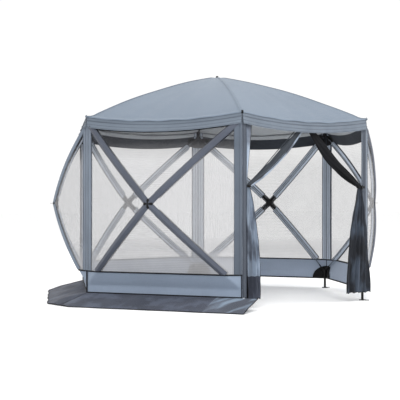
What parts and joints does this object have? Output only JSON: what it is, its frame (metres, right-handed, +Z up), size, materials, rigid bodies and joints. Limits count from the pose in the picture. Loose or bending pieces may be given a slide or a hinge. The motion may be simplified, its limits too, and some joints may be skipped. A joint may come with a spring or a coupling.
{
  "type": "screen house",
  "caption": "Six-sided pop-up screen house: bowed hub frame that folds, peaked canopy with valance, mesh walls over crossed rods, skirt, ground flaps, tied-back doorway.",
  "frame": {"origin": "centre of the bounding box's underside, on the ground", "axes": "+Z up, the doorway faces -Y, +X to the right of someone who looks at the doorway from outside"},
  "size_m": [3.8718, 3.712, 2.5064],
  "materials": {
    "canopy_cloth": "coated polyester, matte blue-grey",
    "dark_cloth": "matte dark slate polyester",
    "mesh": "fine light grey mesh",
    "black_webbing": "black woven webbing",
    "black_plastic": "moulded black nylon",
    "rod_grey": "satin grey fibreglass"
  },
  "bodies": {
    "roof_hub": {"roof_hub": "black_plastic", "roof_pull_strap": "black_webbing", "canopy": "canopy_cloth", "eave_bands": "canopy_cloth", "screen_front_left": "mesh", "screen_back_left": "mesh", "screen_back": "mesh", "screen_back_right": "mesh", "screen_front_right": "mesh", "skirt_bands": "canopy_cloth", "ground_flaps": "dark_cloth", "corner_strips": "canopy_cloth", "pole_sleeves": "dark_cloth", "reinforcing_patches": "black_webbing", "door_curtain_left": "dark_cloth", "door_curtain_right": "dark_cloth", "tie_backs": "black_webbing"},
    "roof_pole_left": {"roof_pole_left": "rod_grey"},
    "top_corner_left": {"top_corner_left": "black_plastic"},
    "foot_left": {"foot_left": "black_plastic"},
    "roof_pole_front_left": {"roof_pole_front_left": "rod_grey"},
    "top_corner_front_left": {"top_corner_front_left": "black_plastic"},
    "foot_front_left": {"foot_front_left": "black_plastic"},
    "roof_pole_front_right": {"roof_pole_front_right": "rod_grey"},
    "top_corner_front_right": {"top_corner_front_right": "black_plastic"},
    "foot_front_right": {"foot_front_right": "black_plastic"},
    "roof_pole_right": {"roof_pole_right": "rod_grey"},
    "top_corner_right": {"top_corner_right": "black_plastic"},
    "foot_right": {"foot_right": "black_plastic"},
    "roof_pole_back_right": {"roof_pole_back_right": "rod_grey"},
    "top_corner_back_right": {"top_corner_back_right": "black_plastic"},
    "foot_back_right": {"foot_back_right": "black_plastic"},
    "roof_pole_back_left": {"roof_pole_back_left": "rod_grey"},
    "top_corner_back_left": {"top_corner_back_left": "black_plastic"},
    "foot_back_left": {"foot_back_left": "black_plastic"},
    "wall_hub_front_left": {"wall_hub_front_left": "black_plastic"},
    "wall_pole_front_left_upper_left": {"wall_pole_front_left_upper_left": "rod_grey"},
    "wall_pole_front_left_upper_right": {"wall_pole_front_left_upper_right": "rod_grey"},
    "wall_pole_front_left_lower_left": {"wall_pole_front_left_lower_left": "rod_grey"},
    "wall_pole_front_left_lower_right": {"wall_pole_front_left_lower_right": "rod_grey"},
    "wall_hub_back_left": {"wall_hub_back_left": "black_plastic"},
    "wall_pole_back_left_upper_left": {"wall_pole_back_left_upper_left": "rod_grey"},
    "wall_pole_back_left_upper_right": {"wall_pole_back_left_upper_right": "rod_grey"},
    "wall_pole_back_left_lower_left": {"wall_pole_back_left_lower_left": "rod_grey"},
    "wall_pole_back_left_lower_right": {"wall_pole_back_left_lower_right": "rod_grey"},
    "wall_hub_back": {"wall_hub_back": "black_plastic"},
    "wall_pole_back_upper_left": {"wall_pole_back_upper_left": "rod_grey"},
    "wall_pole_back_upper_right": {"wall_pole_back_upper_right": "rod_grey"},
    "wall_pole_back_lower_left": {"wall_pole_back_lower_left": "rod_grey"},
    "wall_pole_back_lower_right": {"wall_pole_back_lower_right": "rod_grey"},
    "wall_hub_back_right": {"wall_hub_back_right": "black_plastic"},
    "wall_pole_back_right_upper_left": {"wall_pole_back_right_upper_left": "rod_grey"},
    "wall_pole_back_right_upper_right": {"wall_pole_back_right_upper_right": "rod_grey"},
    "wall_pole_back_right_lower_left": {"wall_pole_back_right_lower_left": "rod_grey"},
    "wall_pole_back_right_lower_right": {"wall_pole_back_right_lower_right": "rod_grey"},
    "wall_hub_front_right": {"wall_hub_front_right": "black_plastic"},
    "wall_pole_front_right_upper_left": {"wall_pole_front_right_upper_left": "rod_grey"},
    "wall_pole_front_right_upper_right": {"wall_pole_front_right_upper_right": "rod_grey"},
    "wall_pole_front_right_lower_left": {"wall_pole_front_right_lower_left": "rod_grey"},
    "wall_pole_front_right_lower_right": {"wall_pole_front_right_lower_right": "rod_grey"}
  },
  "joints": [
    {"name": "frame_fold", "type": "hinge", "parent": "roof_hub", "child": "roof_pole_left", "pos_m": [0.07777, 0.00117, 2.45894], "axis": [0, -1, 0], "range_deg": [0, 69], "deforming": ["canopy", "eave_bands", "screen_front_left", "screen_back_left", "screen_back", "screen_back_right", "screen_front_right", "skirt_bands", "ground_flaps", "corner_strips", "pole_sleeves", "reinforcing_patches", "door_curtain_left", "door_curtain_right", "tie_backs"]},
    {"name": "top_corner_turn_left", "type": "hinge", "parent": "roof_pole_left", "child": "top_corner_left", "pos_m": [-1.49513, 0.00117, 1.963], "axis": [0, -1, 0], "range_deg": [-69, 0]},
    {"name": "roof_fold_front_left", "type": "hinge", "parent": "roof_hub", "child": "roof_pole_front_left", "pos_m": [0.11882, -0.06992, 2.45894], "axis": [0.866, -0.5, 0], "range_deg": [0, 69]},
    {"name": "top_corner_turn_front_left", "type": "hinge", "parent": "roof_pole_front_left", "child": "top_corner_front_left", "pos_m": [-0.66763, -1.4321, 1.963], "axis": [0.866, -0.5, 0], "range_deg": [-69, 0]},
    {"name": "roof_fold_front_right", "type": "hinge", "parent": "roof_hub", "child": "roof_pole_front_right", "pos_m": [0.20091, -0.06992, 2.45894], "axis": [0.866, 0.5, 0], "range_deg": [0, 69]},
    {"name": "top_corner_turn_front_right", "type": "hinge", "parent": "roof_pole_front_right", "child": "top_corner_front_right", "pos_m": [0.98737, -1.4321, 1.963], "axis": [0.866, 0.5, 0], "range_deg": [-69, 0]},
    {"name": "roof_fold_right", "type": "hinge", "parent": "roof_hub", "child": "roof_pole_right", "pos_m": [0.24196, 0.00117, 2.45894], "axis": [0, 1, 0], "range_deg": [0, 69]},
    {"name": "top_corner_turn_right", "type": "hinge", "parent": "roof_pole_right", "child": "top_corner_right", "pos_m": [1.81487, 0.00117, 1.963], "axis": [0, 1, 0], "range_deg": [-69, 0]},
    {"name": "roof_fold_back_right", "type": "hinge", "parent": "roof_hub", "child": "roof_pole_back_right", "pos_m": [0.20091, 0.07226, 2.45894], "axis": [-0.866, 0.5, 0], "range_deg": [0, 69]},
    {"name": "top_corner_turn_back_right", "type": "hinge", "parent": "roof_pole_back_right", "child": "top_corner_back_right", "pos_m": [0.98737, 1.43444, 1.963], "axis": [-0.866, 0.5, 0], "range_deg": [-69, 0]},
    {"name": "roof_fold_back_left", "type": "hinge", "parent": "roof_hub", "child": "roof_pole_back_left", "pos_m": [0.11882, 0.07226, 2.45894], "axis": [-0.866, -0.5, 0], "range_deg": [0, 69]},
    {"name": "top_corner_turn_back_left", "type": "hinge", "parent": "roof_pole_back_left", "child": "top_corner_back_left", "pos_m": [-0.66763, 1.43444, 1.963], "axis": [-0.866, -0.5, 0], "range_deg": [-69, 0]},
    {"name": "wall_fold_front_left_upper_left", "type": "hinge", "parent": "top_corner_left", "child": "wall_pole_front_left_upper_left", "pos_m": [-1.52601, -0.02329, 1.87667], "axis": [-0.3541, 0.6133, -0.7061], "range_deg": [0, 69]},
    {"name": "wall_hub_turn_front_left", "type": "hinge", "parent": "wall_pole_front_left_upper_left", "child": "wall_hub_front_left", "pos_m": [-1.43693, -0.87998, 1.08791], "axis": [-0.3541, 0.6133, -0.7061], "range_deg": [-69, 0]},
    {"name": "wall_fold_front_left_upper_right", "type": "hinge", "parent": "wall_hub_front_left", "child": "wall_pole_front_left_upper_right", "pos_m": [-1.40163, -0.94112, 1.08791], "axis": [-0.3541, 0.6133, 0.7061], "range_deg": [0, 69]},
    {"name": "wall_fold_front_left_lower_left", "type": "hinge", "parent": "wall_hub_front_left", "child": "wall_pole_front_left_lower_left", "pos_m": [-1.43693, -0.87998, 1.01709], "axis": [0.3541, -0.6133, -0.7061], "range_deg": [0, 69]},
    {"name": "wall_fold_front_left_lower_right", "type": "hinge", "parent": "wall_hub_front_left", "child": "wall_pole_front_left_lower_right", "pos_m": [-1.40163, -0.94112, 1.01709], "axis": [0.3541, -0.6133, 0.7061], "range_deg": [0, 69]},
    {"name": "foot_turn_left", "type": "hinge", "parent": "wall_pole_front_left_lower_left", "child": "foot_left", "pos_m": [-1.52601, -0.02329, 0.22833], "axis": [0.3541, -0.6133, -0.7061], "range_deg": [-69, 0]},
    {"name": "foot_turn_front_left", "type": "hinge", "parent": "wall_pole_front_left_lower_right", "child": "foot_front_left", "pos_m": [-0.70426, -1.44661, 0.22833], "axis": [0.3541, -0.6133, 0.7061], "range_deg": [-69, 0]},
    {"name": "wall_fold_back_left_upper_left", "type": "hinge", "parent": "top_corner_back_left", "child": "wall_pole_back_left_upper_left", "pos_m": [-0.70426, 1.44895, 1.87667], "axis": [0.3541, 0.6133, -0.7061], "range_deg": [0, 69]},
    {"name": "wall_hub_turn_back_left", "type": "hinge", "parent": "wall_pole_back_left_upper_left", "child": "wall_hub_back_left", "pos_m": [-1.40163, 0.94346, 1.08791], "axis": [0.3541, 0.6133, -0.7061], "range_deg": [-69, 0]},
    {"name": "wall_fold_back_left_upper_right", "type": "hinge", "parent": "wall_hub_back_left", "child": "wall_pole_back_left_upper_right", "pos_m": [-1.43693, 0.88232, 1.08791], "axis": [0.3541, 0.6133, 0.7061], "range_deg": [0, 69]},
    {"name": "wall_fold_back_left_lower_left", "type": "hinge", "parent": "wall_hub_back_left", "child": "wall_pole_back_left_lower_left", "pos_m": [-1.40163, 0.94346, 1.01709], "axis": [-0.3541, -0.6133, -0.7061], "range_deg": [0, 69]},
    {"name": "wall_fold_back_left_lower_right", "type": "hinge", "parent": "wall_hub_back_left", "child": "wall_pole_back_left_lower_right", "pos_m": [-1.43693, 0.88232, 1.01709], "axis": [-0.3541, -0.6133, 0.7061], "range_deg": [0, 69]},
    {"name": "foot_turn_back_left", "type": "hinge", "parent": "wall_pole_back_left_lower_left", "child": "foot_back_left", "pos_m": [-0.70426, 1.44895, 0.22833], "axis": [-0.3541, -0.6133, -0.7061], "range_deg": [-69, 0]},
    {"name": "wall_fold_back_upper_left", "type": "hinge", "parent": "top_corner_back_right", "child": "wall_pole_back_upper_left", "pos_m": [0.98162, 1.47341, 1.87667], "axis": [0.7081, 0, -0.7061], "range_deg": [0, 69]},
    {"name": "wall_hub_turn_back", "type": "hinge", "parent": "wall_pole_back_upper_left", "child": "wall_hub_back", "pos_m": [0.19517, 1.82461, 1.08791], "axis": [0.7081, 0, -0.7061], "range_deg": [-69, 0]},
    {"name": "wall_fold_back_upper_right", "type": "hinge", "parent": "wall_hub_back", "child": "wall_pole_back_upper_right", "pos_m": [0.12456, 1.82461, 1.08791], "axis": [0.7081, 0, 0.7061], "range_deg": [0, 69]},
    {"name": "wall_fold_back_lower_left", "type": "hinge", "parent": "wall_hub_back", "child": "wall_pole_back_lower_left", "pos_m": [0.19517, 1.82461, 1.01709], "axis": [-0.7081, 0, -0.7061], "range_deg": [0, 69]},
    {"name": "wall_fold_back_lower_right", "type": "hinge", "parent": "wall_hub_back", "child": "wall_pole_back_lower_right", "pos_m": [0.12456, 1.82461, 1.01709], "axis": [-0.7081, 0, 0.7061], "range_deg": [0, 69]},
    {"name": "foot_turn_back_right", "type": "hinge", "parent": "wall_pole_back_lower_left", "child": "foot_back_right", "pos_m": [0.98162, 1.47341, 0.22833], "axis": [-0.7081, 0, -0.7061], "range_deg": [-69, 0]},
    {"name": "wall_fold_back_right_upper_left", "type": "hinge", "parent": "top_corner_right", "child": "wall_pole_back_right_upper_left", "pos_m": [1.84574, 0.02563, 1.87667], "axis": [0.3541, -0.6133, -0.7061], "range_deg": [0, 69]},
    {"name": "wall_hub_turn_back_right", "type": "hinge", "parent": "wall_pole_back_right_upper_left", "child": "wall_hub_back_right", "pos_m": [1.75666, 0.88232, 1.08791], "axis": [0.3541, -0.6133, -0.7061], "range_deg": [-69, 0]},
    {"name": "wall_fold_back_right_upper_right", "type": "hinge", "parent": "wall_hub_back_right", "child": "wall_pole_back_right_upper_right", "pos_m": [1.72136, 0.94346, 1.08791], "axis": [0.3541, -0.6133, 0.7061], "range_deg": [0, 69]},
    {"name": "wall_fold_back_right_lower_left", "type": "hinge", "parent": "wall_hub_back_right", "child": "wall_pole_back_right_lower_left", "pos_m": [1.75666, 0.88232, 1.01709], "axis": [-0.3541, 0.6133, -0.7061], "range_deg": [0, 69]},
    {"name": "wall_fold_back_right_lower_right", "type": "hinge", "parent": "wall_hub_back_right", "child": "wall_pole_back_right_lower_right", "pos_m": [1.72136, 0.94346, 1.01709], "axis": [-0.3541, 0.6133, 0.7061], "range_deg": [0, 69]},
    {"name": "foot_turn_right", "type": "hinge", "parent": "wall_pole_back_right_lower_left", "child": "foot_right", "pos_m": [1.84574, 0.02563, 0.22833], "axis": [-0.3541, 0.6133, -0.7061], "range_deg": [-69, 0]},
    {"name": "wall_fold_front_right_upper_left", "type": "hinge", "parent": "top_corner_front_right", "child": "wall_pole_front_right_upper_left", "pos_m": [1.02399, -1.44661, 1.87667], "axis": [-0.3541, -0.6133, -0.7061], "range_deg": [0, 69]},
    {"name": "wall_hub_turn_front_right", "type": "hinge", "parent": "wall_pole_front_right_upper_left", "child": "wall_hub_front_right", "pos_m": [1.72136, -0.94112, 1.08791], "axis": [-0.3541, -0.6133, -0.7061], "range_deg": [-69, 0]},
    {"name": "wall_fold_front_right_upper_right", "type": "hinge", "parent": "wall_hub_front_right", "child": "wall_pole_front_right_upper_right", "pos_m": [1.75666, -0.87998, 1.08791], "axis": [-0.3541, -0.6133, 0.7061], "range_deg": [0, 69]},
    {"name": "wall_fold_front_right_lower_left", "type": "hinge", "parent": "wall_hub_front_right", "child": "wall_pole_front_right_lower_left", "pos_m": [1.72136, -0.94112, 1.01709], "axis": [0.3541, 0.6133, -0.7061], "range_deg": [0, 69]},
    {"name": "wall_fold_front_right_lower_right", "type": "hinge", "parent": "wall_hub_front_right", "child": "wall_pole_front_right_lower_right", "pos_m": [1.75666, -0.87998, 1.01709], "axis": [0.3541, 0.6133, 0.7061], "range_deg": [0, 69]},
    {"name": "foot_turn_front_right", "type": "hinge", "parent": "wall_pole_front_right_lower_left", "child": "foot_front_right", "pos_m": [1.02399, -1.44661, 0.22833], "axis": [0.3541, 0.6133, -0.7061], "range_deg": [-69, 0]}
  ],
  "couplings": [
    {"joint": "top_corner_turn_left", "follows": "frame_fold", "ratio": -1},
    {"joint": "roof_fold_front_left", "follows": "frame_fold", "ratio": 1},
    {"joint": "top_corner_turn_front_left", "follows": "frame_fold", "ratio": -1},
    {"joint": "roof_fold_front_right", "follows": "frame_fold", "ratio": 1},
    {"joint": "top_corner_turn_front_right", "follows": "frame_fold", "ratio": -1},
    {"joint": "roof_fold_right", "follows": "frame_fold", "ratio": 1},
    {"joint": "top_corner_turn_right", "follows": "frame_fold", "ratio": -1},
    {"joint": "roof_fold_back_right", "follows": "frame_fold", "ratio": 1},
    {"joint": "top_corner_turn_back_right", "follows": "frame_fold", "ratio": -1},
    {"joint": "roof_fold_back_left", "follows": "frame_fold", "ratio": 1},
    {"joint": "top_corner_turn_back_left", "follows": "frame_fold", "ratio": -1},
    {"joint": "wall_fold_front_left_upper_left", "follows": "frame_fold", "ratio": 1},
    {"joint": "wall_hub_turn_front_left", "follows": "frame_fold", "ratio": -1},
    {"joint": "wall_fold_front_left_upper_right", "follows": "frame_fold", "ratio": 1},
    {"joint": "wall_fold_front_left_lower_left", "follows": "frame_fold", "ratio": 1},
    {"joint": "wall_fold_front_left_lower_right", "follows": "frame_fold", "ratio": 1},
    {"joint": "foot_turn_left", "follows": "frame_fold", "ratio": -1},
    {"joint": "foot_turn_front_left", "follows": "frame_fold", "ratio": -1},
    {"joint": "wall_fold_back_left_upper_left", "follows": "frame_fold", "ratio": 1},
    {"joint": "wall_hub_turn_back_left", "follows": "frame_fold", "ratio": -1},
    {"joint": "wall_fold_back_left_upper_right", "follows": "frame_fold", "ratio": 1},
    {"joint": "wall_fold_back_left_lower_left", "follows": "frame_fold", "ratio": 1},
    {"joint": "wall_fold_back_left_lower_right", "follows": "frame_fold", "ratio": 1},
    {"joint": "foot_turn_back_left", "follows": "frame_fold", "ratio": -1},
    {"joint": "wall_fold_back_upper_left", "follows": "frame_fold", "ratio": 1},
    {"joint": "wall_hub_turn_back", "follows": "frame_fold", "ratio": -1},
    {"joint": "wall_fold_back_upper_right", "follows": "frame_fold", "ratio": 1},
    {"joint": "wall_fold_back_lower_left", "follows": "frame_fold", "ratio": 1},
    {"joint": "wall_fold_back_lower_right", "follows": "frame_fold", "ratio": 1},
    {"joint": "foot_turn_back_right", "follows": "frame_fold", "ratio": -1},
    {"joint": "wall_fold_back_right_upper_left", "follows": "frame_fold", "ratio": 1},
    {"joint": "wall_hub_turn_back_right", "follows": "frame_fold", "ratio": -1},
    {"joint": "wall_fold_back_right_upper_right", "follows": "frame_fold", "ratio": 1},
    {"joint": "wall_fold_back_right_lower_left", "follows": "frame_fold", "ratio": 1},
    {"joint": "wall_fold_back_right_lower_right", "follows": "frame_fold", "ratio": 1},
    {"joint": "foot_turn_right", "follows": "frame_fold", "ratio": -1},
    {"joint": "wall_fold_front_right_upper_left", "follows": "frame_fold", "ratio": 1},
    {"joint": "wall_hub_turn_front_right", "follows": "frame_fold", "ratio": -1},
    {"joint": "wall_fold_front_right_upper_right", "follows": "frame_fold", "ratio": 1},
    {"joint": "wall_fold_front_right_lower_left", "follows": "frame_fold", "ratio": 1},
    {"joint": "wall_fold_front_right_lower_right", "follows": "frame_fold", "ratio": 1},
    {"joint": "foot_turn_front_right", "follows": "frame_fold", "ratio": -1}
  ]
}
